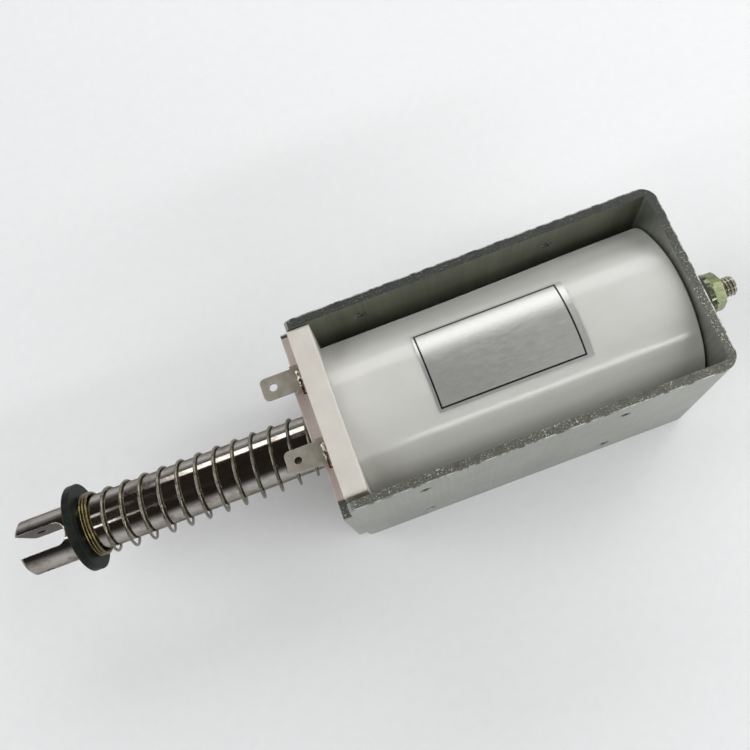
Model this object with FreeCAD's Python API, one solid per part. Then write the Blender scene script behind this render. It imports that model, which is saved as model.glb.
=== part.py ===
import FreeCAD, Part
import math
import os

# Push pull solenoid with an open steel frame, in mm.
# +X runs along the plunger from the fork to the rod end, +Z is the open side with the terminals.
# The origin is on the plunger's axis, at the outer face of the front plate.

os.makedirs("parts", exist_ok=True)

# Driving sizes: the frame
SHEET = 2.5
FRAME_LENGTH = 105.0
FRAME_WIDTH = 54.0
FRAME_HEIGHT = 54.0
BEND_OUTER_RADIUS = 4.7
BEND_INNER_RADIUS = 1.0
WALL_CORNER_RADIUS = 2.6
TONGUE_HEIGHT = 12.0
SIDE_HOLE_RADIUS = 1.65
SIDE_HOLE_SPACING_X = 55.0
SIDE_HOLE_SPACING_Z = 36.0
SIDE_HOLES_FROM_FRONT = 20.0

# Driving sizes: the plunger and what rides on it
PLUNGER_RADIUS = 8.0
PLUNGER_TIP_X = -89.4
STROKE = 30.0
FORK_SLOT_WIDTH = 6.4
FORK_SLOT_DEPTH = 14.4
FORK_PIN_RADIUS = 1.6
FORK_PIN_FROM_TIP = 5.1
FORK_TIP_CHAMFER = 0.8
FORK_TURN = 5.0
SEAT_RADIUS = 12.7
SEAT_THICKNESS = 2.5
SEAT_INNER_X = -70.6
RING_THICKNESS = 1.0
RING_STANDS_OUT = 1.2
RING_GROOVE_DEPTH = 0.5
RING_OPENING = 3.0
SEAT_RIM_CHAMFER = 0.4
ROD_RADIUS = 3.0
ROD_THREAD_IN_PLUNGER = 12.0
PLUNGER_END_CHAMFER = 0.5
ROD_BEYOND_NUT = 4.7
ROD_CHAMFER = 0.6
NUT_ACROSS_FLATS = 10.0
NUT_THICKNESS = 3.2
NUT_TURN = 22.0
NUT_CHAMFER = 0.5
WASHER_RADIUS = 6.0
WASHER_HOLE_RADIUS = 3.2
WASHER_THICKNESS = 1.6
BUMPER_RADIUS = 6.5
BUMPER_LENGTH = 8.4
BUMPER_CHAMFER = 0.8

# Driving sizes: the return spring
SPRING_OUTER_RADIUS = 9.3
SPRING_WIRE_RADIUS = 0.42
SPRING_ACTIVE_TURNS = 12.0
SPRING_CLOSED_AT_SEAT = 3.0
SPRING_CLOSED_AT_PLATE = 1.0
SPRING_CLOSED_GAP = 0.04
SPRING_POINTS_PER_TURN = 12

# Driving sizes: the coil
COIL_SIDE_GAP = 0.2
WRAP_THICKNESS = 1.2
FLANGE_THICKNESS = 6.3
FLANGE_NEAR_GAP = 1.3
FLANGE_FAR_GAP = 0.1
FLANGE_HEIGHT = 52.8
PLATE_BELOW_FLANGE_TOP = 8.4
FLANGE_CORNER_RADIUS = 1.0
REAR_FLANGE_THICKNESS = 3.2
REAR_FLANGE_CHAMFER = 0.5
BOBBIN_TUBE_WALL = 2.0
GUIDE_TUBE_WALL = 0.7
LEDGE_THICKNESS = 1.2
LEDGE_NEAR_SETBACK = 1.2
LEDGE_FAR_SETBACK = 1.6
LEDGE_MIDDLE_OVERHANG = 1.2
WRAP_OVER_REAR_FLANGE = 2.4

# Driving sizes: the terminals and the leads
TAB_WIDTH = 6.3
TAB_THICKNESS = 0.8
TAB_LENGTH = 16.0
TAB_ROOT_WIDTH = 7.7
TAB_ROOT_LENGTH = 5.2
TAB_SUNK = 4.6
TAB_HOLE_RADIUS = 1.1
TAB_HOLE_FROM_END = 3.2
TAB_TIP_RADIUS = 1.4
TAB_BELOW_FLANGE_TOP = 3.4
TAB_SPACING = 21.0
TAB_MIDDLE_Y = 1.4
LEAD_RADIUS = 0.25
LEAD_IN_WINDING = 1.0
LEAD_BESIDE_TAB = 0.9
LEAD_OVER_TAB = 1.9
LEAD_FROM_FLANGE = 0.9
LEAD_CLEARANCE = 0.02
SOLDER_RADIUS = 0.8
SOLDER_LENGTH = 5.6
SOLDER_END_SLOPE = 1.0
SOLDER_PAST_LEAD = 0.9
WIRE_SIDES = 6

# Driving sizes: the fixed core
SPIGOT_RADIUS = 5.0
RIVET_HEAD_RADIUS = 6.2
RIVET_HEAD_HEIGHT = 0.8
CORE_LENGTH = 37.3
POLE_GAP = 0.2

# Driving sizes: the label
LABEL_LENGTH = 43.0
LABEL_START_X = 33.0
LABEL_THICKNESS = 0.12
LABEL_FROM_ANGLE = 59.5
LABEL_TO_ANGLE = 115.0

# Fits, all radial
RUNNING_FIT = 0.06
SNUG_FIT = 0.03
SEAT_FIT = 0.05
SLOT_FIT = 0.05

# Sizes worked out from those above
HALF_WIDTH = FRAME_WIDTH / 2
HALF_HEIGHT = FRAME_HEIGHT / 2
HALF_PLATE = FLANGE_HEIGHT / 2 - PLATE_BELOW_FLANGE_TOP
INNER_HALF_WIDTH = HALF_WIDTH - SHEET
REAR_OUTER_X = SHEET + FRAME_LENGTH
REAR_INNER_X = REAR_OUTER_X - SHEET
TUBE_INNER_RADIUS = PLUNGER_RADIUS + RUNNING_FIT
TUBE_OUTER_RADIUS = TUBE_INNER_RADIUS + GUIDE_TUBE_WALL
BOBBIN_BORE_RADIUS = TUBE_OUTER_RADIUS + SNUG_FIT
BOBBIN_TUBE_RADIUS = BOBBIN_BORE_RADIUS + BOBBIN_TUBE_WALL
FLANGE_BACK_X = SHEET + FLANGE_THICKNESS
REAR_FLANGE_X = REAR_INNER_X - REAR_FLANGE_THICKNESS
COIL_RADIUS = INNER_HALF_WIDTH - COIL_SIDE_GAP
WINDING_RADIUS = COIL_RADIUS - WRAP_THICKNESS
FLANGE_NEAR = INNER_HALF_WIDTH - FLANGE_NEAR_GAP
FLANGE_FAR = INNER_HALF_WIDTH - FLANGE_FAR_GAP
LEDGE_NEAR = FLANGE_NEAR - LEDGE_NEAR_SETBACK
LEDGE_FAR = HALF_WIDTH - LEDGE_FAR_SETBACK
WRAP_END_X = REAR_FLANGE_X + WRAP_OVER_REAR_FLANGE
REAR_FLANGE_RADIUS = WINDING_RADIUS - SNUG_FIT
CORE_FACE_X = REAR_INNER_X - CORE_LENGTH
PLUNGER_INSIDE = CORE_FACE_X - POLE_GAP - STROKE
SEAT_OUTER_X = SEAT_INNER_X - SEAT_THICKNESS
RING_RADIUS = PLUNGER_RADIUS + RING_STANDS_OUT
GROOVE_X = SEAT_OUTER_X - RING_THICKNESS - SLOT_FIT
FORK_PIN_X = PLUNGER_TIP_X + FORK_PIN_FROM_TIP
BUMPER_FRONT_X = REAR_OUTER_X + RIVET_HEAD_HEIGHT
WASHER_INNER_X = BUMPER_FRONT_X + BUMPER_LENGTH
NUT_INNER_X = WASHER_INNER_X + WASHER_THICKNESS
NUT_OUTER_X = NUT_INNER_X + NUT_THICKNESS
ROD_END_X = NUT_OUTER_X + ROD_BEYOND_NUT
FLANGE_FRONT_X = SHEET
TAB_OUTER_X = FLANGE_FRONT_X + TAB_SUNK - TAB_LENGTH
TAB_LEVEL = FLANGE_HEIGHT / 2 - TAB_BELOW_FLANGE_TOP
TAB_TOP = TAB_LEVEL + TAB_THICKNESS / 2
TAB_CENTRES_Y = {
    "far": TAB_MIDDLE_Y + TAB_SPACING / 2,
    "near": TAB_MIDDLE_Y - TAB_SPACING / 2,
}

ALONG_X = FreeCAD.Vector(1, 0, 0)
ALONG_Y = FreeCAD.Vector(0, 1, 0)
ALONG_Z = FreeCAD.Vector(0, 0, 1)


def point(x, y, z):
    return FreeCAD.Vector(x, y, z)


def block(x_from, x_to, y_from, y_to, z_from, z_to):
    """A box given by its limits on each axis."""
    corner = point(x_from, y_from, z_from)
    return Part.makeBox(x_to - x_from, y_to - y_from, z_to - z_from, corner)


def turned(outline):
    """A solid turned about the plunger's axis from corners given as (x, radius)."""
    corners = [point(x, radius, 0) for x, radius in outline]
    face = Part.Face(Part.makePolygon(corners + corners[:1]))
    return face.revolve(point(0, 0, 0), ALONG_X, 360)


def rod(x_from, x_to, radius):
    """A round bar on the plunger's axis."""
    return Part.makeCylinder(radius, x_to - x_from, point(x_from, 0, 0), ALONG_X)


def ring(x_from, x_to, inner_radius, outer_radius):
    """A plain round sleeve on the plunger's axis."""
    return turned([
        (x_from, inner_radius),
        (x_from, outer_radius),
        (x_to, outer_radius),
        (x_to, inner_radius),
    ])


def rimmed_ring(x_from, x_to, inner_radius, outer_radius, chamfer):
    """A sleeve whose outer rim is chamfered at its first end."""
    return turned([
        (x_from, inner_radius),
        (x_from, outer_radius - chamfer),
        (x_from + chamfer, outer_radius),
        (x_to, outer_radius),
        (x_to, inner_radius),
    ])


def edges_where(shape, test):
    """The edges whose middle point and direction pass a test."""
    found = []
    for edge in shape.Edges:
        first = edge.Vertexes[0].Point
        last = edge.Vertexes[-1].Point
        if test((first + last) / 2, last - first):
            found.append(edge)
    return found


def runs_along(direction, axis):
    """True for a straight edge parallel to an axis."""
    length = direction.Length
    return length > 0.01 and abs(abs(direction.dot(axis)) - length) < 0.001


def wire_along(points, radius):
    """A wire with a many-sided section swept through corner points."""
    way = points[1] - points[0]
    across = way.cross(ALONG_X)
    if across.Length < 0.001:
        across = way.cross(ALONG_Z)
    across.normalize()
    upward = way.cross(across)
    upward.normalize()
    section = []
    for side in range(WIRE_SIDES):
        turn = 2 * math.pi * side / WIRE_SIDES
        offset = across * (radius * math.cos(turn)) + upward * (radius * math.sin(turn))
        section.append(points[0] + offset)
    profile = Part.Wire(Part.makePolygon(section + section[:1]))
    path = Part.Wire(Part.makePolygon(points))
    mitred = 1
    return path.makePipeShell([profile], True, False, mitred)


def bent_strip():
    """The U as bent from one strip: near wall, rear wall and far wall."""
    plan = [
        point(SHEET, -HALF_WIDTH, -HALF_HEIGHT),
        point(REAR_OUTER_X, -HALF_WIDTH, -HALF_HEIGHT),
        point(REAR_OUTER_X, HALF_WIDTH, -HALF_HEIGHT),
        point(SHEET, HALF_WIDTH, -HALF_HEIGHT),
        point(SHEET, INNER_HALF_WIDTH, -HALF_HEIGHT),
        point(REAR_INNER_X, INNER_HALF_WIDTH, -HALF_HEIGHT),
        point(REAR_INNER_X, -INNER_HALF_WIDTH, -HALF_HEIGHT),
        point(SHEET, -INNER_HALF_WIDTH, -HALF_HEIGHT),
    ]
    strip = Part.Face(Part.makePolygon(plan + plan[:1])).extrude(ALONG_Z * FRAME_HEIGHT)
    for face_x, radius in ((REAR_OUTER_X, BEND_OUTER_RADIUS), (REAR_INNER_X, BEND_INNER_RADIUS)):
        bends = edges_where(
            strip,
            lambda middle, way: runs_along(way, ALONG_Z) and abs(middle.x - face_x) < 0.01,
        )
        strip = strip.makeFillet(radius, bends)
    return strip


def side_holes(half_width):
    """Cutters for the tapped holes of both side walls."""
    cutters = []
    for column in (0, 1):
        x = SHEET + SIDE_HOLES_FROM_FRONT + column * SIDE_HOLE_SPACING_X
        for row in (-1, 1):
            z = row * SIDE_HOLE_SPACING_Z / 2
            start = point(x, -half_width - 1, z)
            cutters.append(Part.makeCylinder(SIDE_HOLE_RADIUS, 2 * half_width + 2, start, ALONG_Y))
    return cutters


def u_frame():
    shape = bent_strip()
    front_corners = edges_where(
        shape,
        lambda middle, way: runs_along(way, ALONG_Y) and middle.x < SHEET + 0.1,
    )
    shape = shape.makeFillet(WALL_CORNER_RADIUS, front_corners)
    half_tongue = TONGUE_HEIGHT / 2
    for side in (-1, 1):
        edges = sorted((side * INNER_HALF_WIDTH, side * HALF_WIDTH))
        tongue = block(0, SHEET + 1, edges[0], edges[1], -half_tongue, half_tongue)
        shape = shape.fuse(tongue)
    for cutter in side_holes(HALF_WIDTH):
        shape = shape.cut(cutter)
    shape = shape.cut(rod(REAR_INNER_X - 1, REAR_OUTER_X + 1, SPIGOT_RADIUS + SNUG_FIT))
    return shape.removeSplitter()


def front_plate():
    """The plate across the mouth of the U, notched for the walls' tongues."""
    shape = block(0, SHEET, -HALF_WIDTH, HALF_WIDTH, -HALF_PLATE, HALF_PLATE)
    half_notch = TONGUE_HEIGHT / 2 + SLOT_FIT
    for side in (-1, 1):
        edges = sorted((side * (INNER_HALF_WIDTH - SLOT_FIT), side * (HALF_WIDTH + 1)))
        notch = block(-1, SHEET + 1, edges[0], edges[1], -half_notch, half_notch)
        shape = shape.cut(notch)
    return shape.cut(rod(-1, SHEET + 1, TUBE_OUTER_RADIUS + SNUG_FIT))


def tab_pocket(centre_y):
    """The slot in the bobbin's flange that a terminal is pushed into."""
    half_width = TAB_ROOT_WIDTH / 2 + SLOT_FIT
    half_thickness = TAB_THICKNESS / 2 + SLOT_FIT
    return block(
        FLANGE_FRONT_X - 1,
        FLANGE_FRONT_X + TAB_SUNK + SLOT_FIT,
        centre_y - half_width,
        centre_y + half_width,
        TAB_LEVEL - half_thickness,
        TAB_LEVEL + half_thickness,
    )


def lead_points(centre_y):
    """The lead's corner points, from the winding out through the flange and over the tab."""
    beside = centre_y - TAB_ROOT_WIDTH / 2 - LEAD_BESIDE_TAB
    over = centre_y - TAB_ROOT_WIDTH / 2 + LEAD_OVER_TAB
    front = FLANGE_FRONT_X - LEAD_FROM_FLANGE
    level = TAB_TOP + LEAD_RADIUS + LEAD_CLEARANCE
    winding_z = math.sqrt((WINDING_RADIUS - LEAD_IN_WINDING) ** 2 - beside ** 2)
    return [
        point(FLANGE_BACK_X, beside, winding_z),
        point(FLANGE_FRONT_X, beside, level),
        point(front, beside, level),
        point(front, over, level),
    ]


def front_flange():
    """The nearly square flange behind the front plate, with round corners."""
    half_height = FLANGE_HEIGHT / 2
    profile = [
        point(FLANGE_FRONT_X, -FLANGE_NEAR, -half_height),
        point(FLANGE_FRONT_X, FLANGE_FAR, -half_height),
        point(FLANGE_FRONT_X, FLANGE_FAR, half_height),
        point(FLANGE_FRONT_X, -FLANGE_NEAR, half_height),
    ]
    flange = Part.Face(Part.makePolygon(profile + profile[:1]))
    flange = flange.extrude(ALONG_X * FLANGE_THICKNESS)
    corners = edges_where(flange, lambda middle, way: runs_along(way, ALONG_X))
    return flange.makeFillet(FLANGE_CORNER_RADIUS, corners)


def bobbin():
    """The moulding: front flange with its ledge, winding tube and rear flange."""
    tube = turned([
        (FLANGE_FRONT_X, BOBBIN_BORE_RADIUS),
        (FLANGE_FRONT_X, BOBBIN_TUBE_RADIUS),
        (REAR_FLANGE_X, BOBBIN_TUBE_RADIUS),
        (REAR_FLANGE_X, REAR_FLANGE_RADIUS),
        (REAR_INNER_X - REAR_FLANGE_CHAMFER, REAR_FLANGE_RADIUS),
        (REAR_INNER_X, REAR_FLANGE_RADIUS - REAR_FLANGE_CHAMFER),
        (REAR_INNER_X, BOBBIN_BORE_RADIUS),
    ])
    flange = front_flange().cut(rod(FLANGE_FRONT_X - 1, FLANGE_BACK_X + 1, BOBBIN_BORE_RADIUS))
    ledge = block(
        0, FLANGE_FRONT_X, -LEDGE_NEAR, LEDGE_FAR, HALF_PLATE, HALF_PLATE + LEDGE_THICKNESS
    )
    overhang = block(
        -LEDGE_MIDDLE_OVERHANG,
        0,
        TAB_CENTRES_Y["near"],
        TAB_CENTRES_Y["far"],
        HALF_PLATE,
        HALF_PLATE + LEDGE_THICKNESS,
    )
    shape = tube.fuse(flange).fuse(ledge).fuse(overhang)
    for centre_y in TAB_CENTRES_Y.values():
        shape = shape.cut(tab_pocket(centre_y))
        shape = shape.cut(wire_along(lead_points(centre_y), LEAD_RADIUS + SNUG_FIT))
    return shape.removeSplitter()


def guide_tube():
    return ring(0, REAR_INNER_X, TUBE_INNER_RADIUS, TUBE_OUTER_RADIUS)


def winding():
    inner = BOBBIN_TUBE_RADIUS + SNUG_FIT
    outer = WINDING_RADIUS - SNUG_FIT
    return ring(FLANGE_BACK_X, REAR_FLANGE_X, inner, outer)


def coil_wrap():
    """The tape round the winding, lapped a little way over the rear flange."""
    return ring(FLANGE_BACK_X, WRAP_END_X, WINDING_RADIUS, COIL_RADIUS)


def label():
    """The foil label, a thin curved sheet on top of the wrap."""
    end_x = LABEL_START_X + LABEL_LENGTH
    sheet = ring(LABEL_START_X, end_x, COIL_RADIUS, COIL_RADIUS + LABEL_THICKNESS)
    reach = 2 * COIL_RADIUS
    corners = [point(LABEL_START_X - 1, 0, 0)]
    for angle in (LABEL_FROM_ANGLE, LABEL_TO_ANGLE):
        turn = math.radians(angle)
        corners.append(point(LABEL_START_X - 1, reach * math.cos(turn), reach * math.sin(turn)))
    wedge = Part.Face(Part.makePolygon(corners + corners[:1]))
    return sheet.common(wedge.extrude(ALONG_X * (LABEL_LENGTH + 2)))


def terminal(centre_y):
    """A blade with a wider root, sunk into the bobbin's flange."""
    bottom = TAB_LEVEL - TAB_THICKNESS / 2
    half_blade = TAB_WIDTH / 2
    half_root = TAB_ROOT_WIDTH / 2
    inner_x = TAB_OUTER_X + TAB_LENGTH
    blade = block(
        TAB_OUTER_X, inner_x, centre_y - half_blade, centre_y + half_blade, bottom, TAB_TOP
    )
    tips = edges_where(
        blade,
        lambda middle, way: runs_along(way, ALONG_Z) and middle.x < TAB_OUTER_X + 0.1,
    )
    blade = blade.makeFillet(TAB_TIP_RADIUS, tips)
    root = block(
        inner_x - TAB_SUNK - TAB_ROOT_LENGTH / 2,
        inner_x,
        centre_y - half_root,
        centre_y + half_root,
        bottom,
        TAB_TOP,
    )
    hole_x = TAB_OUTER_X + TAB_HOLE_FROM_END
    hole = Part.makeCylinder(
        TAB_HOLE_RADIUS, 2 * TAB_THICKNESS, point(hole_x, centre_y, bottom - 0.1), ALONG_Z
    )
    return blade.fuse(root).cut(hole).removeSplitter()


def lead(centre_y):
    return wire_along(lead_points(centre_y), LEAD_RADIUS)


def solder(centre_y):
    """A low ridge of solder on the tab's root, along the flange and over the lead's end."""
    end = lead_points(centre_y)[-1]
    start = end.y - SOLDER_PAST_LEAD
    finish = start + SOLDER_LENGTH
    outline = [
        point(end.x, start, TAB_TOP),
        point(end.x, start + SOLDER_END_SLOPE, TAB_TOP + SOLDER_RADIUS),
        point(end.x, finish - SOLDER_END_SLOPE, TAB_TOP + SOLDER_RADIUS),
        point(end.x, finish, TAB_TOP),
    ]
    half = Part.Face(Part.makePolygon(outline + outline[:1]))
    ridge = half.revolve(point(end.x, 0, TAB_TOP), ALONG_Y, 360)
    above_tab = block(
        end.x - SOLDER_RADIUS, FLANGE_FRONT_X, start, finish, TAB_TOP, TAB_TOP + SOLDER_RADIUS
    )
    return ridge.common(above_tab).cut(lead(centre_y))


def fixed_core():
    """The stop: pressed into the guide tube, its spigot riveted over the rear wall."""
    radius = TUBE_INNER_RADIUS - SNUG_FIT
    bore = ROD_RADIUS + RUNNING_FIT
    return turned([
        (CORE_FACE_X, bore),
        (CORE_FACE_X, radius),
        (REAR_INNER_X, radius),
        (REAR_INNER_X, SPIGOT_RADIUS),
        (REAR_OUTER_X, SPIGOT_RADIUS),
        (REAR_OUTER_X, RIVET_HEAD_RADIUS),
        (BUMPER_FRONT_X, RIVET_HEAD_RADIUS),
        (BUMPER_FRONT_X, bore),
    ])


def fork_slot():
    """The cutter for the slot, with a round end."""
    half = FORK_SLOT_WIDTH / 2
    end_x = PLUNGER_TIP_X + FORK_SLOT_DEPTH - half
    size = 2 * PLUNGER_RADIUS
    slot = block(PLUNGER_TIP_X - 1, end_x, -half, half, -size, size)
    round_end = Part.makeCylinder(half, 2 * size, point(end_x, 0, -size), ALONG_Z)
    return slot.fuse(round_end)


def plunger():
    """The round bar with its ring groove, threaded hole and fork.

    Nothing keys it to the frame, and as photographed it stands a little turned.
    """
    floor_radius = PLUNGER_RADIUS - RING_GROOVE_DEPTH
    thread_radius = ROD_RADIUS + SNUG_FIT
    thread_end_x = PLUNGER_INSIDE - ROD_THREAD_IN_PLUNGER
    bar = turned([
        (PLUNGER_TIP_X, 0),
        (PLUNGER_TIP_X, PLUNGER_RADIUS - FORK_TIP_CHAMFER),
        (PLUNGER_TIP_X + FORK_TIP_CHAMFER, PLUNGER_RADIUS),
        (GROOVE_X, PLUNGER_RADIUS),
        (GROOVE_X, floor_radius),
        (SEAT_OUTER_X, floor_radius),
        (SEAT_OUTER_X, PLUNGER_RADIUS),
        (PLUNGER_INSIDE - PLUNGER_END_CHAMFER, PLUNGER_RADIUS),
        (PLUNGER_INSIDE, PLUNGER_RADIUS - PLUNGER_END_CHAMFER),
        (PLUNGER_INSIDE, thread_radius),
        (thread_end_x, thread_radius),
        (thread_end_x, 0),
    ])
    pin_start = point(FORK_PIN_X, -2 * PLUNGER_RADIUS, 0)
    pin_hole = Part.makeCylinder(FORK_PIN_RADIUS, 4 * PLUNGER_RADIUS, pin_start, ALONG_Y)
    shape = bar.cut(fork_slot()).cut(pin_hole)
    shape.rotate(point(0, 0, 0), ALONG_X, FORK_TURN)
    return shape


def spring_seat():
    return rimmed_ring(
        SEAT_OUTER_X, SEAT_INNER_X, PLUNGER_RADIUS + SEAT_FIT, SEAT_RADIUS, SEAT_RIM_CHAMFER
    )


def snap_ring():
    """The retaining ring in the plunger's groove, open on one side."""
    floor_radius = PLUNGER_RADIUS - RING_GROOVE_DEPTH
    full = ring(SEAT_OUTER_X - RING_THICKNESS, SEAT_OUTER_X, floor_radius + SNUG_FIT, RING_RADIUS)
    half_opening = RING_OPENING / 2
    opening = block(
        GROOVE_X, SEAT_OUTER_X + 1, -half_opening, half_opening, -2 * RING_RADIUS, 0
    )
    return full.cut(opening)


def push_rod():
    return turned([
        (PLUNGER_INSIDE - ROD_THREAD_IN_PLUNGER, 0),
        (PLUNGER_INSIDE - ROD_THREAD_IN_PLUNGER, ROD_RADIUS),
        (ROD_END_X - ROD_CHAMFER, ROD_RADIUS),
        (ROD_END_X, ROD_RADIUS - ROD_CHAMFER),
        (ROD_END_X, 0),
    ])


def bumper():
    return rimmed_ring(
        BUMPER_FRONT_X, WASHER_INNER_X, ROD_RADIUS + SNUG_FIT, BUMPER_RADIUS, BUMPER_CHAMFER
    )


def stop_washer():
    return ring(WASHER_INNER_X, NUT_INNER_X, WASHER_HOLE_RADIUS, WASHER_RADIUS)


def stop_nut():
    """A thin hexagon nut with its corners chamfered on both sides."""
    corner_radius = NUT_ACROSS_FLATS / math.sqrt(3)
    corners = []
    for corner in range(6):
        turn = math.radians(NUT_TURN + 60 * corner)
        corners.append(
            point(NUT_INNER_X, corner_radius * math.cos(turn), corner_radius * math.sin(turn))
        )
    hexagon = Part.Face(Part.makePolygon(corners + corners[:1]))
    prism = hexagon.extrude(ALONG_X * NUT_THICKNESS)
    bore = ROD_RADIUS + SNUG_FIT
    disc = turned([
        (NUT_INNER_X, bore),
        (NUT_INNER_X, corner_radius - NUT_CHAMFER),
        (NUT_INNER_X + NUT_CHAMFER, corner_radius),
        (NUT_OUTER_X - NUT_CHAMFER, corner_radius),
        (NUT_OUTER_X, corner_radius - NUT_CHAMFER),
        (NUT_OUTER_X, bore),
    ])
    return prism.common(disc)


def spring_path():
    """Points of a left-handed helix whose first and last turns lie close together."""
    start = SEAT_INNER_X + SPRING_WIRE_RADIUS
    end = -SPRING_WIRE_RADIUS
    closed_rise = 2 * SPRING_WIRE_RADIUS + SPRING_CLOSED_GAP
    radius = SPRING_OUTER_RADIUS - SPRING_WIRE_RADIUS
    closed_turns = SPRING_CLOSED_AT_SEAT + SPRING_CLOSED_AT_PLATE
    open_rise = (end - start - closed_turns * closed_rise) / SPRING_ACTIVE_TURNS
    steps = int((SPRING_ACTIVE_TURNS + closed_turns) * SPRING_POINTS_PER_TURN)
    points = []
    for step in range(steps + 1):
        turned = step / SPRING_POINTS_PER_TURN
        opened = min(max(turned - SPRING_CLOSED_AT_SEAT, 0), SPRING_ACTIVE_TURNS)
        x = start + opened * open_rise + (turned - opened) * closed_rise
        angle = -2 * math.pi * turned
        points.append(point(x, radius * math.cos(angle), radius * math.sin(angle)))
    return points


def return_spring():
    """The open spring, swept along its path."""
    return wire_along(spring_path(), SPRING_WIRE_RADIUS)


def only_solid(shape):
    """The one solid of a finished shape, so that each file holds a plain solid."""
    if len(shape.Solids) != 1:
        raise ValueError("expected one solid, found %d" % len(shape.Solids))
    return shape.Solids[0]


NODES = {
    "u_frame": u_frame,
    "front_plate": front_plate,
    "bobbin": bobbin,
    "guide_tube": guide_tube,
    "winding": winding,
    "coil_wrap": coil_wrap,
    "label": label,
    "fixed_core": fixed_core,
    "plunger": plunger,
    "spring_seat": spring_seat,
    "snap_ring": snap_ring,
    "return_spring": return_spring,
    "push_rod": push_rod,
    "bumper": bumper,
    "stop_washer": stop_washer,
    "stop_nut": stop_nut,
}


def main():
    for name, build in NODES.items():
        only_solid(build()).exportStep("parts/%s.step" % name)
    for side, centre_y in TAB_CENTRES_Y.items():
        only_solid(terminal(centre_y)).exportStep("parts/terminal_%s.step" % side)
        only_solid(lead(centre_y)).exportStep("parts/lead_%s.step" % side)
        only_solid(solder(centre_y)).exportStep("parts/solder_%s.step" % side)


main()
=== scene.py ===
import math

import bpy
from mathutils import Matrix, Vector, noise


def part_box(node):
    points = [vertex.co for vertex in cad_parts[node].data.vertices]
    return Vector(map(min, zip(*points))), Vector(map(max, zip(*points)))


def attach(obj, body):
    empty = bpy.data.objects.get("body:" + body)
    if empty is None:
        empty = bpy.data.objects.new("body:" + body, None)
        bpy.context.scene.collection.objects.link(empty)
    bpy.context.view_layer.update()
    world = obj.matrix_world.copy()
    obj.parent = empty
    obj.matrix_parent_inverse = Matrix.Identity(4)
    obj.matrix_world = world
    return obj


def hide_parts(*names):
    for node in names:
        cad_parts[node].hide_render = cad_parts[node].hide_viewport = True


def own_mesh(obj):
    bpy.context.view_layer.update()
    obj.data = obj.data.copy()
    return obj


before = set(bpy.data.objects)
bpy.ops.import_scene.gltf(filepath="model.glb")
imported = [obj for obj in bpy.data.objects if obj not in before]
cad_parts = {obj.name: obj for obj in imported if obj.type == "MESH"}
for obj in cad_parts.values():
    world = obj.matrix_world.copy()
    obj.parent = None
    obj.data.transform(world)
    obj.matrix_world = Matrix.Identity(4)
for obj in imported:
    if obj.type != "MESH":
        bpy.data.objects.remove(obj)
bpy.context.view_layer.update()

MM = 0.001

# Sizes shared with the CAD model
REAR_OUTER_X = 107.5 * MM
HALF_WIDTH = 27.0 * MM
SHEET = 2.5 * MM
SEAT_INNER_X = -70.6 * MM
SPRING_OUTER_RADIUS = 9.3 * MM
SPRING_WIRE_RADIUS = 0.42 * MM
SPRING_ACTIVE_TURNS = 12.0
SPRING_CLOSED_AT_SEAT = 3.0
SPRING_CLOSED_AT_PLATE = 1.0
SPRING_CLOSED_GAP = 0.04 * MM
ROD_RADIUS = 3.0 * MM
COIL_RADIUS = 24.3 * MM
WINDING_RADIUS = 23.1 * MM
SIDE_HOLE_RADIUS = 1.65 * MM
SIDE_HOLES_X = (22.5 * MM, 77.5 * MM)
SIDE_HOLES_Z = (-18.0 * MM, 18.0 * MM)
LEDGE_TOP = 19.2 * MM
FORK_TURN = math.radians(5)
FORK_SLOT_HALF = 3.2 * MM
FORK_SLOT_END_X = -75.0 * MM
FRAME_BOTTOM_Z = -27.0 * MM

# Threads of the rod's end and of the side holes
ROD_THREAD_PITCH = 1.0 * MM
ROD_THREAD_DEPTH = 0.5 * MM
ROD_THREAD_START_X = REAR_OUTER_X + 2.0 * MM
ROD_CHAMFER = 0.6 * MM
SIDE_THREAD_PITCH = 0.7 * MM
SIDE_THREAD_RIDGE = 0.22 * MM
SIDE_THREAD_MARGIN = 0.3 * MM

# Insulating film: waves, a lap and a loose flap, between angles in degrees round the coil
FILM_WAVE = 0.08 * MM
FILM_WAVES_PER_METRE = 30
FILM_WAVES_ROUND = 1.6
FILM_WALL_GAP = 0.08 * MM
FILM_LAP = 0.15 * MM
FILM_LAP_EDGE = (127.0, 128.5)
FILM_LAP_END = (338.0, 350.0)
FILM_FLAP = 0.9 * MM
FILM_FLAP_X = (30.0 * MM, 104.0 * MM)
FILM_FLAP_FREE_EDGE = (20.0, 22.0)
FILM_FLAP_HELD_EDGE = (30.0, 56.0)

# Return spring: its open turns are a little wide and hang off the axis
SPRING_SAG_Y = -0.68 * MM
SPRING_SAG_Z = -0.25 * MM
SPRING_SLACK = 0.3 * MM
SPRING_SAG_START = 1.0 * MM
SPRING_SAG_FULL = 9.0 * MM
# Length at the seat that gets the painted highlight tint
SPRING_HIGHLIGHT_TINT_LENGTH = 3.4 * MM

# Solder: uneven lumps, unlike on the two sides, and rounded drops along each ridge
SOLDER_SIZE = 0.93
SOLDER_END_SIZE = 0.02
SOLDER_LUMP = 0.32
SOLDER_LUMPS_PER_METRE = 900
SOLDER_SIDE_SHIFT = 700
SOLDER_DROP_COUNT = 2.5
SOLDER_DROP_DEPTH = 0.22

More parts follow.
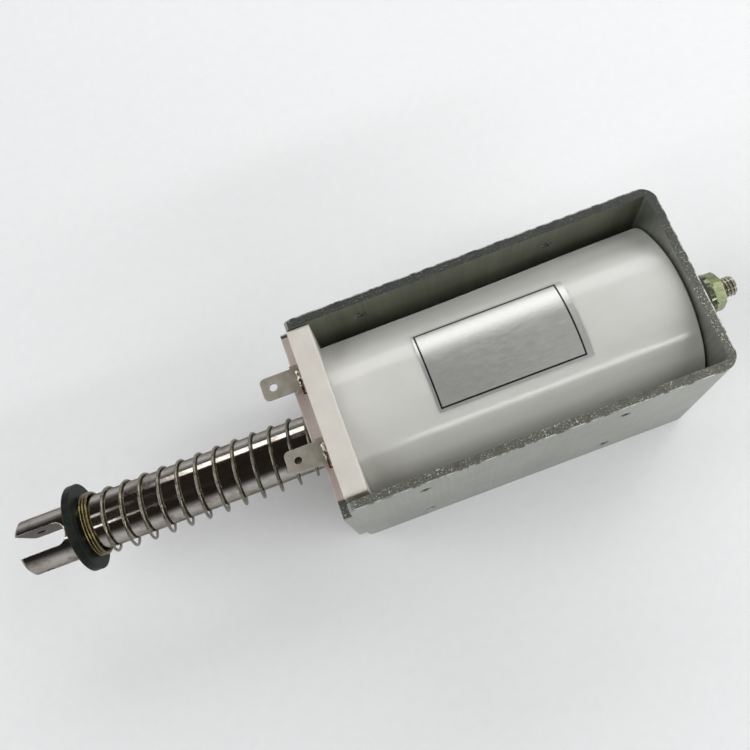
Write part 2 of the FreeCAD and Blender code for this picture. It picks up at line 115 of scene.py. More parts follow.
# Places and limits where a material changes
WORN_LIKENESS = (0.75, 0.97)
LABEL_BORDER_X = (33.9 * MM, 74.0 * MM)
LABEL_BORDER_ANGLES = (math.radians(61.0), math.radians(112.5))
LABEL_LINE = 0.5 * MM
SHEARED_FACING = 0.75
INNER_FACE_MARGIN = 0.25 * MM
# Width of the painted highlight along the outer rims of the sheet
RIM_HIGHLIGHT_WIDTH = 0.3 * MM
# Across the frame, where the painted shade on the sheared edges grows
FAR_EDGE_SHADE_Y = (-10.0 * MM, 22.0 * MM)
# Heights over which the film's painted light fades out
FILM_PAINTED_LIGHT_Z = (10.0 * MM, 24.0 * MM)
LEDGE_MARGIN_Z = 0.1 * MM
LEDGE_MARGIN_X = 0.05 * MM
SLOT_MARGIN = 0.03 * MM
SLOT_END_BAND = 1.0 * MM

# Studio in metres, and the camera fitted to the frame's edges in the photograph
FLOOR_SIZE = 2.3
KEY_RADIANCE = 2.7
FILL_RADIANCE = 1.95
CAMERA_PLACE = (0.01913, -0.06269, 0.24700)
CAMERA_TURN = (15.998, 5.507, -19.817)
CAMERA_LENS = 42.638
CAMERA_SENSOR = 36.0


def mesh_object(name, points, faces, smooth=True):
    """A new object made of these points and faces."""
    mesh = bpy.data.meshes.new(name)
    mesh.from_pydata([tuple(point) for point in points], [], faces)
    mesh.validate()
    mesh.polygons.foreach_set("use_smooth", [smooth] * len(mesh.polygons))
    mesh.update()
    obj = bpy.data.objects.new(name, mesh)
    bpy.context.scene.collection.objects.link(obj)
    return obj


def band_faces(first, second, sides):
    """Faces between two rings of points that start at these indices."""
    faces = []
    for side in range(sides):
        following = (side + 1) % sides
        faces.append((first + side, first + following, second + following, second + side))
    return faces


def closed_faces(start, rings, sides):
    """Faces of a tube whose rings of points begin at this index, with both ends closed."""
    last = start + (rings - 1) * sides
    faces = [tuple(reversed(range(start, start + sides))), tuple(range(last, last + sides))]
    for first in range(start, last, sides):
        faces += band_faces(first, first + sides, sides)
    return faces


def ring_points(x, radii):
    """A ring of points round the X axis, one for each of these radii."""
    points = []
    for side, radius in enumerate(radii):
        turn = 2 * math.pi * side / len(radii)
        points.append((x, radius * math.cos(turn), radius * math.sin(turn)))
    return points


def tubes_along(name, paths, radius, sides):
    """Round tubes with closed ends that follow paths of points, as one mesh."""
    points = []
    faces = []
    for path in paths:
        faces += closed_faces(len(points), len(path), sides)
        across = (path[1] - path[0]).orthogonal().normalized()
        for index, centre in enumerate(path):
            before = path[max(index - 1, 0)]
            after = path[min(index + 1, len(path) - 1)]
            way = (after - before).normalized()
            across = (across - way * across.dot(way)).normalized()
            upward = way.cross(across)
            for side in range(sides):
                turn = 2 * math.pi * side / sides
                offset = math.cos(turn) * across + math.sin(turn) * upward
                points.append(centre + radius * offset)
    return mesh_object(name, points, faces)


def eased(value, start, end):
    """A smooth step from 0 at the start to 1 at the end."""
    share = min(max((value - start) / (end - start), 0), 1)
    return share * share * (3 - 2 * share)


# Node helpers for the materials
def material(name, colour, metallic, roughness):
    """A new node material with these values, its node tree and its principled shader."""
    made = bpy.data.materials.new(name)
    made.use_nodes = True
    shader = made.node_tree.nodes["Principled BSDF"]
    shader.inputs["Base Color"].default_value = (*colour, 1)
    shader.inputs["Metallic"].default_value = metallic
    shader.inputs["Roughness"].default_value = roughness
    made.diffuse_color = (*colour, 1)
    return made, made.node_tree, shader


def place(tree, stretch=(1, 1, 1)):
    """Object coordinates, stretched by a factor on each axis."""
    coordinates = tree.nodes.new("ShaderNodeTexCoord")
    mapping = tree.nodes.new("ShaderNodeMapping")
    mapping.inputs["Scale"].default_value = stretch
    tree.links.new(coordinates.outputs["Object"], mapping.inputs["Vector"])
    return mapping.outputs["Vector"]


def grain(tree, where, scale, detail, roughness=0.6):
    """A noise value at a number of cells per metre."""
    node = tree.nodes.new("ShaderNodeTexNoise")
    node.inputs["Scale"].default_value = scale
    node.inputs["Detail"].default_value = detail
    node.inputs["Roughness"].default_value = roughness
    tree.links.new(where, node.inputs["Vector"])
    return node.outputs["Fac"]


def ramp(tree, value, stops):
    """Maps a value through colour stops given as (position, colour)."""
    node = tree.nodes.new("ShaderNodeValToRGB")
    elements = node.color_ramp.elements
    while len(elements) < len(stops):
        elements.new(0.5)
    for element, (position, colour) in zip(elements, stops):
        element.position = position
        element.color = (*colour, 1)
    tree.links.new(value, node.inputs["Fac"])
    return node.outputs["Color"]


def spread(tree, value, low, high, from_low=0.3, from_high=0.7):
    """Maps a value to a range, for roughness and masks."""
    node = tree.nodes.new("ShaderNodeMapRange")
    node.inputs["From Min"].default_value = from_low
    node.inputs["From Max"].default_value = from_high
    node.inputs["To Min"].default_value = low
    node.inputs["To Max"].default_value = high
    tree.links.new(value, node.inputs["Value"])
    return node.outputs["Result"]


def feed(tree, socket, source):
    """Sets a socket to a number or a colour, or links it to another node."""
    if isinstance(source, (int, float)):
        socket.default_value = source
    elif isinstance(source, tuple):
        socket.default_value = (*source, 1)
    else:
        tree.links.new(source, socket)


def mixed(tree, share, first, second, mode="MIX"):
    """Mixes two colours by a share."""
    node = tree.nodes.new("ShaderNodeMix")
    node.data_type = "RGBA"
    node.blend_type = mode
    for name, source in (("Factor", share), ("A", first), ("B", second)):
        enabled = [socket for socket in node.inputs if socket.name == name and socket.enabled]
        feed(tree, enabled[0], source)
    return [socket for socket in node.outputs if socket.enabled][0]


def calculated(tree, operation, first, second=0.0):
    """One step of arithmetic on two values."""
    node = tree.nodes.new("ShaderNodeMath")
    node.operation = operation
    for socket, source in zip(node.inputs, (first, second)):
        feed(tree, socket, source)
    return node.outputs["Value"]


def both(tree, first, second):
    """The product of two values: where both masks hold, or a share of one."""
    return calculated(tree, "MULTIPLY", first, second)


def above(tree, value, limit):
    """A mask of where a value is over a limit."""
    return calculated(tree, "GREATER_THAN", value, limit)


def below(tree, value, limit):
    """A mask of where a value is under a limit."""
    return calculated(tree, "LESS_THAN", value, limit)


def split(tree, vector):
    """The three parts of a vector."""
    node = tree.nodes.new("ShaderNodeSeparateXYZ")
    tree.links.new(vector, node.inputs["Vector"])
    return node.outputs


def facing_up(tree):
    """How far the surface faces up or down in the object's own frame."""
    node = tree.nodes.new("ShaderNodeTexCoord")
    return calculated(tree, "ABSOLUTE", split(tree, node.outputs["Normal"])["Z"])


def rounded_edges(tree, radius):
    """A normal that rounds the edges, and a mask of the edges' wear."""
    bevel = tree.nodes.new("ShaderNodeBevel")
    bevel.samples = 6
    bevel.inputs["Radius"].default_value = radius
    geometry = tree.nodes.new("ShaderNodeNewGeometry")
    likeness = tree.nodes.new("ShaderNodeVectorMath")
    likeness.operation = "DOT_PRODUCT"
    tree.links.new(bevel.outputs["Normal"], likeness.inputs[0])
    tree.links.new(geometry.outputs["Normal"], likeness.inputs[1])
    wear = spread(tree, likeness.outputs["Value"], 1.0, 0.0, *WORN_LIKENESS)
    return bevel.outputs["Normal"], wear


def bumped(tree, shader, height, distance, strength, normal=None):
    """Gives the shader a bump of this height in metres, from a value."""
    node = tree.nodes.new("ShaderNodeBump")
    node.inputs["Strength"].default_value = strength
    node.inputs["Distance"].default_value = distance
    tree.links.new(height, node.inputs["Height"])
    if normal:
        tree.links.new(normal, node.inputs["Normal"])
    tree.links.new(node.outputs["Normal"], shader.inputs["Normal"])


def blotched(made, scale, low, high, rough, bump, edge_radius, edge_colour):
    """Cloudy colour and gloss between two values, with edges worn to a colour."""
    tree = made.node_tree
    shader = tree.nodes["Principled BSDF"]
    clouds = grain(tree, place(tree), scale, 4, 0.65)
    normal, wear = rounded_edges(tree, edge_radius)
    tone = ramp(tree, clouds, [(0.35, low), (0.65, high)])
    tree.links.new(mixed(tree, both(tree, wear, clouds), tone, edge_colour),
                   shader.inputs["Base Color"])
    tree.links.new(spread(tree, clouds, *rough), shader.inputs["Roughness"])
    bumped(tree, shader, clouds, bump, 0.35, normal)
    return made


# Materials
def zinc_sheet():
    """Grey zinc plated sheet: streaked faces, darker and warmer on the faces towards the coil as
    painted shade, and dark, specked sheared edges, with bright speckles that are painted glints,
    painted shade growing towards the far wall and a painted highlight along their outer rims.
    """
    made, tree, shader = material("zinc_sheet", (0.4, 0.43, 0.4), 0.8, 0.4)
    position = split(tree, place(tree))
    streaks = grain(tree, place(tree, (1, 1, 0.04)), 1000, 3, 0.7)
    clouds = grain(tree, place(tree), 55, 3, 0.55)
    face = ramp(tree, streaks, [(0.3, (0.32, 0.335, 0.305)), (0.7, (0.47, 0.48, 0.45))])
    cloudy = ramp(tree, clouds, [(0.3, (0.80, 0.82, 0.78)), (0.7, (1.0, 1.0, 1.0))])
    face = mixed(tree, 1.0, face, cloudy, "MULTIPLY")
    across = calculated(tree, "ABSOLUTE", position["Y"])
    # Painted shade: the wall faces towards the coil are painted darker and warmer.
    inside_shade_mask = both(
        tree,
        below(tree, across, HALF_WIDTH - SHEET + INNER_FACE_MARGIN),
        above(tree, across, HALF_WIDTH - SHEET - INNER_FACE_MARGIN),
    )
    face = mixed(tree, inside_shade_mask, face, mixed(tree, 1.0, face, (0.66, 0.66, 0.56), "MULTIPLY"))
    specks_and_glints = grain(tree, place(tree), 2000, 2)
    patches = grain(tree, place(tree), 260, 3)
    # Bright speckles on the sheared edges are painted glints; the same noise also sets the edges'
    # roughness and bumps.
    edge = ramp(tree, specks_and_glints, [
        (0.35, (0.07, 0.075, 0.06)),
        (0.60, (0.17, 0.175, 0.15)),
        (0.66, (0.80, 0.80, 0.76)),
    ])
    plain = ramp(tree, patches, [(0.3, (0.09, 0.09, 0.075)), (0.7, (0.22, 0.22, 0.19))])
    edge = mixed(tree, spread(tree, patches, 0.2, 0.9, 0.4, 0.6), plain, edge)
    # Painted shade: the sheared edges are painted darker towards the far wall.
    far_edge_shade = spread(tree, position["Y"], 0.0, 0.72, *FAR_EDGE_SHADE_Y)
    edge = mixed(tree, far_edge_shade, edge, (0.03, 0.034, 0.034))
    # Painted highlight: a bright, patchy line along the outer rims of the sheared edges and of the
    # rear bends.
    outer = calculated(
        tree, "MAXIMUM",
        above(tree, across, HALF_WIDTH - RIM_HIGHLIGHT_WIDTH),
        above(tree, position["X"], REAR_OUTER_X - RIM_HIGHLIGHT_WIDTH),
    )
    rim_highlight = both(tree, outer, spread(tree, patches, 0.0, 1.0, 0.42, 0.56))
    edge = mixed(tree, both(tree, rim_highlight, 0.8), edge, (0.75, 0.76, 0.72))
    is_edge = above(tree, facing_up(tree), SHEARED_FACING)
    tree.links.new(mixed(tree, is_edge, face, edge), shader.inputs["Base Color"])
    face_rough = both(tree, calculated(tree, "SUBTRACT", 1.0, is_edge),
                      spread(tree, streaks, 0.36, 0.5))
    edge_rough = both(tree, is_edge, spread(tree, specks_and_glints, 0.42, 0.6))
    tree.links.new(calculated(tree, "ADD", face_rough, edge_rough), shader.inputs["Roughness"])
    tree.links.new(spread(tree, is_edge, 0.8, 0.55, 0.0, 1.0), shader.inputs["Metallic"])
    depth = both(tree, calculated(tree, "ADD", is_edge, 0.15), specks_and_glints)
    normal, _ = rounded_edges(tree, 0.3 * MM)
    bumped(tree, shader, depth, 0.12 * MM, 0.6, normal)
    return made


def white_moulding():
    """Warm white moulded plastic with soft edges; its thin ledge is painted a darker mauve grey as
    painted shade.
    """
    made, tree, shader = material("white_moulding", (0.68, 0.65, 0.60), 0.0, 0.4)
    position = split(tree, place(tree))
    clouds = grain(tree, place(tree), 110, 3)
    tone = ramp(tree, clouds, [(0.35, (0.61, 0.58, 0.53)), (0.65, (0.67, 0.64, 0.59))])
    # Painted shade: the thin ledge in front of the flange is painted a darker mauve grey.
    ledge_shade_mask = both(
        tree,
        below(tree, position["Z"], LEDGE_TOP + LEDGE_MARGIN_Z),
        below(tree, position["X"], SHEET - LEDGE_MARGIN_X),
    )
    ledge = ramp(tree, clouds, [(0.35, (0.54, 0.47, 0.43)), (0.65, (0.64, 0.56, 0.52))])
    tree.links.new(mixed(tree, ledge_shade_mask, tone, ledge), shader.inputs["Base Color"])
    fine = grain(tree, place(tree), 1800, 3)
    tree.links.new(spread(tree, fine, 0.34, 0.48), shader.inputs["Roughness"])
    shader.inputs["Subsurface Weight"].default_value = 0.35
    shader.inputs["Subsurface Radius"].default_value = (1.0, 0.9, 0.8)
    shader.inputs["Subsurface Scale"].default_value = 1.5 * MM
    normal, _ = rounded_edges(tree, 0.6 * MM)
    bumped(tree, shader, fine, 0.04 * MM, 0.3, normal)
    return made


def white_film():
    """Translucent white insulating film with a soft gloss, painted lighter below its top as
    painted light.
    """
    made, tree, shader = material("white_film", (0.68, 0.68, 0.64), 0.0, 0.4)
    clouds = grain(tree, place(tree, (0.6, 1, 1)), 60, 3)
    plain_film_tone = ramp(tree, clouds, [(0.35, (0.65, 0.65, 0.61)), (0.65, (0.70, 0.70, 0.66))])
    # Painted light: the film is painted lighter below its top, fading to its plain tone at the
    # top.
    painted_side_light_fade = spread(tree, split(tree, place(tree))["Z"], 0.0, 1.0, *FILM_PAINTED_LIGHT_Z)
    tree.links.new(mixed(tree, painted_side_light_fade, (0.92, 0.92, 0.87), plain_film_tone), shader.inputs["Base Color"])
    fine = grain(tree, place(tree, (1, 0.4, 0.4)), 900, 3)
    tree.links.new(spread(tree, clouds, 0.3, 0.42), shader.inputs["Roughness"])
    shader.inputs["Specular IOR Level"].default_value = 0.3
    shader.inputs["Coat Weight"].default_value = 0.6
    shader.inputs["Coat Roughness"].default_value = 0.13
    shader.inputs["Sheen Weight"].default_value = 1.0
    shader.inputs["Sheen Roughness"].default_value = 0.4
    shader.inputs["Subsurface Weight"].default_value = 0.6
    shader.inputs["Subsurface Radius"].default_value = (1.0, 1.0, 0.95)
    shader.inputs["Subsurface Scale"].default_value = 5 * MM
    bumped(tree, shader, fine, 0.03 * MM, 0.3)
    return made


def inside_band(tree, value, limits, half_line):
    """Masks for a border line at two limits, and for all that is between them."""
    low, high = limits
    away = calculated(tree, "ABSOLUTE", calculated(tree, "SUBTRACT", value, (low + high) / 2))
    half = (high - low) / 2
    off_line = calculated(tree, "ABSOLUTE", calculated(tree, "SUBTRACT", away, half))
    return below(tree, off_line, half_line), below(tree, away, half + half_line)


def label_foil():
    """Satin silver foil with a thin dark border line and no lettering."""
    made, tree, shader = material("label_foil", (0.58, 0.58, 0.56), 0.65, 0.38)
    position = split(tree, place(tree))
    angle = calculated(tree, "ARCTAN2", position["Z"], position["Y"])
    half_line = LABEL_LINE / 2
    line_x, inside_x = inside_band(tree, position["X"], LABEL_BORDER_X, half_line)
    line_angle, inside_angle = inside_band(
        tree, angle, LABEL_BORDER_ANGLES, half_line / COIL_RADIUS
    )
    drawn = both(
        tree, calculated(tree, "MAXIMUM", line_x, line_angle), both(tree, inside_x, inside_angle)
    )
    fine = grain(tree, place(tree, (0.3, 1, 1)), 1500, 3)
    silver = ramp(tree, fine, [(0.3, (0.53, 0.54, 0.52)), (0.7, (0.60, 0.60, 0.58))])
    tree.links.new(mixed(tree, drawn, silver, (0.03, 0.03, 0.035)), shader.inputs["Base Color"])
    tree.links.new(spread(tree, fine, 0.30, 0.37), shader.inputs["Roughness"])
    bumped(tree, shader, fine, 0.02 * MM, 0.2)
    return made


def bright_nickel():
    """Mirror nickel plating with faint drawn lines, brownish patches that are partly real staining
    and partly painted brown reflection, and the fork's slot painted dark as painted shade.
    """
    made, tree, shader = material("bright_nickel", (0.56, 0.53, 0.49), 1.0, 0.1)
    stains_and_reflection = grain(tree, place(tree, (1, 1.5, 1.5)), 180, 5, 0.7)
    normal, wear = rounded_edges(tree, 0.25 * MM)
    # Brownish patches: partly real staining, partly painted brown reflection.
    tone = ramp(tree, stains_and_reflection, [(0.46, (0.46, 0.44, 0.41)), (0.70, (0.23, 0.18, 0.14))])
    position = split(tree, place(tree))
    across = calculated(tree, "ADD", both(tree, position["Y"], math.cos(FORK_TURN)),
                        both(tree, position["Z"], math.sin(FORK_TURN)))
    # Painted shade: the faces of the fork's slot are painted dark.
    slot_shade_mask = both(
        tree,
        below(tree, calculated(tree, "ABSOLUTE", across), FORK_SLOT_HALF + SLOT_MARGIN),
        below(tree, position["X"], FORK_SLOT_END_X - SLOT_END_BAND),
    )
    tone = mixed(tree, both(tree, slot_shade_mask, 0.85), tone, (0.10, 0.09, 0.09))
    tree.links.new(mixed(tree, wear, tone, (0.8, 0.78, 0.75)), shader.inputs["Base Color"])
    shader.inputs["Specular Tint"].default_value = (0.35, 0.33, 0.31, 1)
    lines = grain(tree, place(tree, (0.03, 1, 1)), 3000, 2)
    tree.links.new(spread(tree, stains_and_reflection, 0.06, 0.16), shader.inputs["Roughness"])
    bumped(tree, shader, lines, 0.01 * MM, 0.3, normal)
    return made


def dark_oxide():
    """Black oxide with a faint oily green sheen."""
    made, _, shader = material("dark_oxide", (0.013, 0.016, 0.015), 0.0, 0.35)
    shader.inputs["Specular IOR Level"].default_value = 0.08
    return blotched(made, 350, (0.008, 0.010, 0.009), (0.018, 0.021, 0.017), (0.36, 0.5),
                    0.06 * MM, 0.4 * MM, (0.05, 0.05, 0.04))


def spring_wire():
    """Drawn spring wire: dark, with a khaki gloss along each turn; the closed turns at the seat
    are painted a darker gold-brown as a painted highlight tint.
    """
    made, tree, shader = material("spring_wire", (0.25, 0.23, 0.18), 1.0, 0.3)
    streaks = grain(tree, place(tree), 1200, 4, 0.7)
    along = split(tree, place(tree))["X"]
    tone = ramp(tree, streaks, [(0.3, (0.10, 0.095, 0.075)), (0.7, (0.32, 0.30, 0.24))])
    # Painted highlight tint: the closed turns at the seat are painted a darker gold-brown.
    golden_highlight_tone = ramp(tree, streaks, [(0.3, (0.07, 0.06, 0.03)), (0.7, (0.24, 0.20, 0.09))])
    at_seat = below(tree, along, SEAT_INNER_X + SPRING_HIGHLIGHT_TINT_LENGTH)
    tree.links.new(mixed(tree, at_seat, tone, golden_highlight_tone), shader.inputs["Base Color"])
    tree.links.new(spread(tree, streaks, 0.22, 0.4), shader.inputs["Roughness"])
    bumped(tree, shader, streaks, 0.03 * MM, 0.4)
    return made


def yellow_zinc(name, low, high):
    """Olive yellow chromate over zinc, darker where it is thin."""
    made = material(name, high, 0.9, 0.16)[0]
    return blotched(made, 450, low, high, (0.12, 0.22), 0.05 * MM, 0.25 * MM, (0.6, 0.6, 0.42))


def tin_plate():
    """Dull tin plating on the blades, with fine punching scratches and bright rims."""
    made, tree, shader = material("tin_plate", (0.42, 0.39, 0.33), 0.4, 0.42)
    clouds = grain(tree, place(tree), 300, 4)
    tone = ramp(tree, clouds, [(0.35, (0.28, 0.26, 0.21)), (0.65, (0.37, 0.35, 0.295))])
    normal, wear = rounded_edges(tree, 0.2 * MM)
    tree.links.new(mixed(tree, wear, tone, (0.8, 0.77, 0.68)), shader.inputs["Base Color"])
    scratches = grain(tree, place(tree, (0.1, 1, 1)), 3500, 2)
    tree.links.new(spread(tree, scratches, 0.36, 0.5), shader.inputs["Roughness"])
    bumped(tree, shader, scratches, 0.02 * MM, 0.4, normal)
    return made


def solder_metal():
    """Bright solder with dark and amber flux left in its hollows."""
    made, tree, shader = material("solder_metal", (0.8, 0.8, 0.78), 0.6, 0.2)
    flux = grain(tree, place(tree), 800, 3)
    tone = ramp(tree, flux, [
        (0.48, (0.88, 0.88, 0.84)),
        (0.55, (0.40, 0.26, 0.08)),
        (0.64, (0.06, 0.045, 0.03)),
    ])
    tree.links.new(tone, shader.inputs["Base Color"])
    tree.links.new(spread(tree, flux, 0.14, 0.36), shader.inputs["Roughness"])
    bumped(tree, shader, flux, 0.15 * MM, 0.5)
    return made


def plain_metal(name, low, high, scale, rough):
    """A metal whose colour and gloss vary between two values."""
    made = material(name, high, 1.0, rough[0])[0]
    return blotched(made, scale, low, high, rough, 0.05 * MM, 0.2 * MM, high)


def black_rubber():
    """Matt black rubber with fine dust."""
    made = material("black_rubber", (0.02, 0.02, 0.02), 0.0, 0.7)[0]
    return blotched(made, 1200, (0.012, 0.012, 0.012), (0.05, 0.05, 0.048), (0.6, 0.8),
                    0.08 * MM, 0.4 * MM, (0.06, 0.06, 0.06))


# Pieces that replace their CAD nodes or add to them
def spring_point(turned_so_far):
    """A point on the left-handed return spring's wire; its open turns are loose and sag."""
    start = SEAT_INNER_X + SPRING_WIRE_RADIUS
    end = -SPRING_WIRE_RADIUS
    closed_rise = 2 * SPRING_WIRE_RADIUS + SPRING_CLOSED_GAP
    closed_turns = SPRING_CLOSED_AT_SEAT + SPRING_CLOSED_AT_PLATE
    radius = SPRING_OUTER_RADIUS - SPRING_WIRE_RADIUS
    open_rise = (end - start - closed_turns * closed_rise) / SPRING_ACTIVE_TURNS
    opened = min(max(turned_so_far - SPRING_CLOSED_AT_SEAT, 0), SPRING_ACTIVE_TURNS)
    x = start + opened * open_rise + (turned_so_far - opened) * closed_rise
    angle = -2 * math.pi * turned_so_far
    sag = eased(x - start, SPRING_SAG_START, SPRING_SAG_FULL) * eased(end - x, 0, SPRING_SAG_FULL)
    radius += sag * SPRING_SLACK
    return Vector((
        x,
        radius * math.cos(angle) + sag * SPRING_SAG_Y,
        radius * math.sin(angle) + sag * SPRING_SAG_Z,
    ))


def spring_wire_piece():
    """The return spring as a swept wire."""
    steps_per_turn = 48
    turns = SPRING_ACTIVE_TURNS + SPRING_CLOSED_AT_SEAT + SPRING_CLOSED_AT_PLATE
    steps = int(turns * steps_per_turn)
    path = [spring_point(step / steps_per_turn) for step in range(steps + 1)]
    piece = tubes_along("spring_wire_turns", [path], SPRING_WIRE_RADIUS, 12)
    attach(piece, "frame")
    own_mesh(piece)
    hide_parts("return_spring")
    return piece


def rod_radius(x, turn, end_x):
    """The rod's radius with its thread, which fades in, and the chamfer at its end."""
    from_start = (x - ROD_THREAD_START_X) / ROD_THREAD_PITCH
    phase = (from_start - turn) % 1.0
    depth = ROD_THREAD_DEPTH * (0.5 + 0.5 * math.cos(2 * math.pi * phase))
    fade = min(max(from_start, 0), 1)
    return min(ROD_RADIUS - depth * fade, ROD_RADIUS - ROD_CHAMFER + (end_x - x))


def threaded_rod():
    """The push rod with a rolled thread on its outer end."""
    low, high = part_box("push_rod")
    sides = 48
    steps_per_pitch = 12
    length = high.x - ROD_THREAD_START_X
    steps = int(length / ROD_THREAD_PITCH * steps_per_pitch)
    stations = [low.x]
    stations += [ROD_THREAD_START_X + length * step / steps for step in range(steps + 1)]
    points = []
    for x in stations:
        points += ring_points(x, [rod_radius(x, side / sides, high.x) for side in range(sides)])
    faces = closed_faces(0, len(stations), sides)
    piece = mesh_object("rod_with_thread", points, faces)
    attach(piece, "plunger")
    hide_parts("push_rod")
    return piece


def solder_ridge(side):
    """A lumpy ridge of solder along the flange, in the place of its CAD solid."""
    low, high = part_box("solder_%s" % side)
    middle_x = (low.x + high.x) / 2
    half_width = (high.x - low.x) / 2
    height = high.z - low.z
    steps = 40
    sides = 16
    points = []
    for step in range(steps + 1):
        share = step / steps
        y = low.y + (high.y - low.y) * share
        ends = max(math.sqrt(1 - (2 * share - 1) ** 4), SOLDER_END_SIZE)
        spot = Vector((y * SOLDER_LUMPS_PER_METRE, low.y * SOLDER_SIDE_SHIFT, 0))
        lumps = SOLDER_SIZE + SOLDER_LUMP * noise.noise(spot)
        drops = 1 - SOLDER_DROP_DEPTH * (1 - math.cos(2 * math.pi * SOLDER_DROP_COUNT * share))
        size = min(ends * lumps * drops, 1.0)
        for side_step in range(sides):
            turn = math.pi * side_step / (sides - 1)
            points.append((
                middle_x - half_width * size * math.cos(turn),
                y,
                low.z + height * size * math.sin(turn),
            ))
    faces = closed_faces(0, steps + 1, sides)
    piece = mesh_object("solder_drops_%s" % side, points, faces)
    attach(piece, "frame")
    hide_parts("solder_%s" % side)
    return piece


def film_radius(x, degrees):
    """The film's outer radius, with its waves, its lap and the flap at the far rear."""
    turn = math.radians(degrees)
    spot = Vector((
        FILM_WAVES_PER_METRE * x,
        FILM_WAVES_ROUND * math.cos(turn),
        FILM_WAVES_ROUND * math.sin(turn),
    ))
    waves = FILM_WAVE * abs(noise.noise(spot))
    lap = FILM_LAP * eased(degrees, *FILM_LAP_EDGE) * (1 - eased(degrees, *FILM_LAP_END))
    flap = FILM_FLAP * eased(x, *FILM_FLAP_X)
    flap *= eased(degrees, *FILM_FLAP_FREE_EDGE) * (1 - eased(degrees, *FILM_FLAP_HELD_EDGE))
    radius = COIL_RADIUS - waves + max(lap, flap)
    if math.cos(turn) > 0:
        wall_y = HALF_WIDTH - SHEET - FILM_WALL_GAP
        radius = min(radius, wall_y / math.cos(turn))
    return radius


def film_piece():
    """The insulating film round the coil as a closed sleeve, lapped along one line."""
    low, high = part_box("coil_wrap")
    sides = 240
    steps = 56
    points = []
    for step in range(steps + 1):
        x = low.x + (high.x - low.x) * step / steps
        points += ring_points(x, [film_radius(x, 360 * side / sides) for side in range(sides)])
    for x in (high.x, low.x):
        points += ring_points(x, [WINDING_RADIUS] * sides)
    rings = steps + 3
    faces = []
    for ring in range(rings):
        faces += band_faces(ring * sides, (ring + 1) % rings * sides, sides)
    piece = mesh_object("insulating_film", points, faces)
    piece.data.set_sharp_from_angle(angle=math.radians(50))
    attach(piece, "frame")
    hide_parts("coil_wrap")
    return piece


def side_thread_path(x, wall_y, z):
    """The helix of the thread in one side hole, from one face of the wall to the other."""
    length = SHEET - 2 * SIDE_THREAD_MARGIN
    steps_per_turn = 24
    steps = int(length / SIDE_THREAD_PITCH * steps_per_turn)
    path = []
    for step in range(steps + 1):
        turn = 2 * math.pi * step / steps_per_turn
        path.append(Vector((
            x + SIDE_HOLE_RADIUS * math.cos(turn),
            wall_y + SIDE_THREAD_MARGIN + length * step / steps,
            z + SIDE_HOLE_RADIUS * math.sin(turn),
        )))
    return path


def side_threads():
    """The ridges of the threads in the eight tapped side holes, as one piece."""
    paths = []
    for wall_y in (-HALF_WIDTH, HALF_WIDTH - SHEET):
        for x in SIDE_HOLES_X:
            for z in SIDE_HOLES_Z:
                paths.append(side_thread_path(x, wall_y, z))
    piece = tubes_along("side_hole_threads", paths, SIDE_THREAD_RIDGE, 6)
    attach(piece, "frame")
    return piece


# Painting
def paint(node, made):
    """Gives a CAD node its material."""
    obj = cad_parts[node]
    obj.data.materials.clear()
    obj.data.materials.append(made)


def finish_piece(piece, made):
    """Gives a new piece its material."""
    piece.data.materials.append(made)


sheet = zinc_sheet()
tin = tin_plate()
bare_solder = solder_metal()
copper = plain_metal("enamelled_copper", (0.05, 0.02, 0.012), (0.16, 0.06, 0.03), 900, (0.25, 0.4))
brass = plain_metal("drawn_brass", (0.45, 0.33, 0.15), (0.62, 0.48, 0.24), 300, (0.25, 0.4))
iron = plain_metal("soft_iron", (0.28, 0.28, 0.27), (0.42, 0.42, 0.41), 400, (0.3, 0.45))
steel = plain_metal("spring_steel", (0.05, 0.05, 0.045), (0.13, 0.13, 0.12), 500, (0.3, 0.45))
nut_zinc = yellow_zinc("yellow_zinc", (0.20, 0.23, 0.12), (0.36, 0.40, 0.23))
washer_zinc = yellow_zinc("dark_zinc", (0.08, 0.10, 0.06), (0.20, 0.23, 0.14))
thread_zinc = yellow_zinc("thread_zinc", (0.22, 0.21, 0.17), (0.44, 0.43, 0.35))

paint("u_frame", sheet)
paint("front_plate", sheet)
paint("bobbin", white_moulding())
paint("guide_tube", brass)
paint("winding", copper)
paint("label", label_foil())
paint("fixed_core", iron)
for side in ("near", "far"):
    paint("terminal_%s" % side, tin)
    paint("lead_%s" % side, copper)
    finish_piece(solder_ridge(side), bare_solder)
paint("plunger", bright_nickel())
paint("spring_seat", dark_oxide())
paint("snap_ring", steel)
paint("bumper", black_rubber())
paint("stop_washer", washer_zinc)
paint("stop_nut", nut_zinc)
finish_piece(film_piece(), white_film())
finish_piece(side_threads(), sheet)
finish_piece(spring_wire_piece(), spring_wire())
finish_piece(threaded_rod(), thread_zinc)


# Floor, lights and camera
def floor():
    """A plain pale sheet of paper under the frame."""
    made, tree, shader = material("floor_paper", (0.84, 0.85, 0.86), 0.0, 0.6)
    fine = grain(tree, place(tree), 300, 3)
    tone = ramp(tree, fine, [(0.3, (0.83, 0.84, 0.85)), (0.7, (0.85, 0.86, 0.87))])
    tree.links.new(tone, shader.inputs["Base Color"])
    half = FLOOR_SIZE / 2
    corners = [(-half, -half), (half, -half), (half, half), (-half, half)]
    points = [(x, y, FRAME_BOTTOM_Z) for x, y in corners]
    paper = mesh_object("floor", points, [(0, 1, 2, 3)], smooth=False)
    paper.data.materials.append(made)


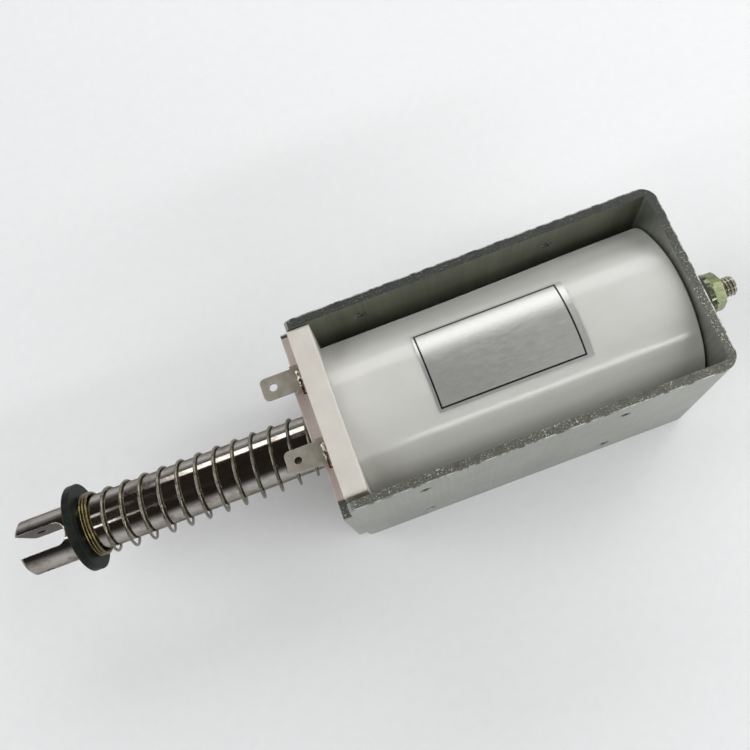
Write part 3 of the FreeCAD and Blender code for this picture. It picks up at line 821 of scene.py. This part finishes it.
def softbox(name, centre, size, radiance):
    """A rectangular lamp that faces the object and has this radiance."""
    lamp = bpy.data.lights.new(name, "AREA")
    lamp.shape = "RECTANGLE"
    lamp.size, lamp.size_y = size
    lamp.energy = radiance * math.pi * size[0] * size[1]
    obj = bpy.data.objects.new(name, lamp)
    bpy.context.scene.collection.objects.link(obj)
    centre = Vector(centre)
    backward = centre.normalized()
    upward = backward.cross(Vector((1, 0, 0))).normalized()
    side = upward.cross(backward).normalized()
    turn = Matrix((side, upward, backward)).transposed().to_4x4()
    obj.matrix_world = Matrix.Translation(centre) @ turn
    obj.visible_camera = False


def studio():
    """A long key lamp behind, three fill lamps and three strips for the gloss."""
    softbox("key_softbox", (0.32, 0.68, 0.42), (1.36, 0.36), KEY_RADIANCE)
    softbox("fill_left", (-0.9, 0.08, 0.8), (0.9, 1.0), 1.1 * FILL_RADIANCE)
    softbox("fill_right", (0.9, 0.0, 0.8), (0.9, 1.4), 1.1 * FILL_RADIANCE)
    softbox("near_side_fill", (0.85, -0.6, 0.28), (0.6, 0.45), FILL_RADIANCE)
    softbox("coil_strip", (0.35, -0.566, 0.41), (0.7, 0.06), 3.5 * KEY_RADIANCE)
    softbox("seat_strip_near", (-0.6, -0.3, 0.6), (0.7, 0.09), 1.4 * KEY_RADIANCE)
    softbox("seat_strip_far", (-0.6, 0.2, 0.6), (0.7, 0.15), 0.4 * KEY_RADIANCE)
    world = bpy.data.worlds.new("studio")
    bpy.context.scene.world = world
    world.use_nodes = True
    tree = world.node_tree
    direction = tree.nodes.new("ShaderNodeTexCoord")
    height = split(tree, direction.outputs["Generated"])["Z"]
    walls = ramp(tree, height, [
        (0.0, (0.66, 0.67, 0.68)),
        (0.08, (0.42, 0.43, 0.44)),
        (0.26, (0.17, 0.17, 0.17)),
        (0.40, (0.04, 0.035, 0.03)),
        (0.60, (0.028, 0.022, 0.018)),
    ])
    tree.links.new(walls, tree.nodes["Background"].inputs["Color"])


def camera():
    """A camera with the photograph's view."""
    data = bpy.data.cameras.new("photo_view")
    data.lens = CAMERA_LENS
    data.sensor_width = CAMERA_SENSOR
    data.clip_start = 0.01
    obj = bpy.data.objects.new("photo_view", data)
    obj.location = CAMERA_PLACE
    obj.rotation_euler = [math.radians(angle) for angle in CAMERA_TURN]
    bpy.context.scene.collection.objects.link(obj)
    bpy.context.scene.camera = obj


floor()
studio()
camera()
bpy.context.scene.view_settings.view_transform = "Standard"
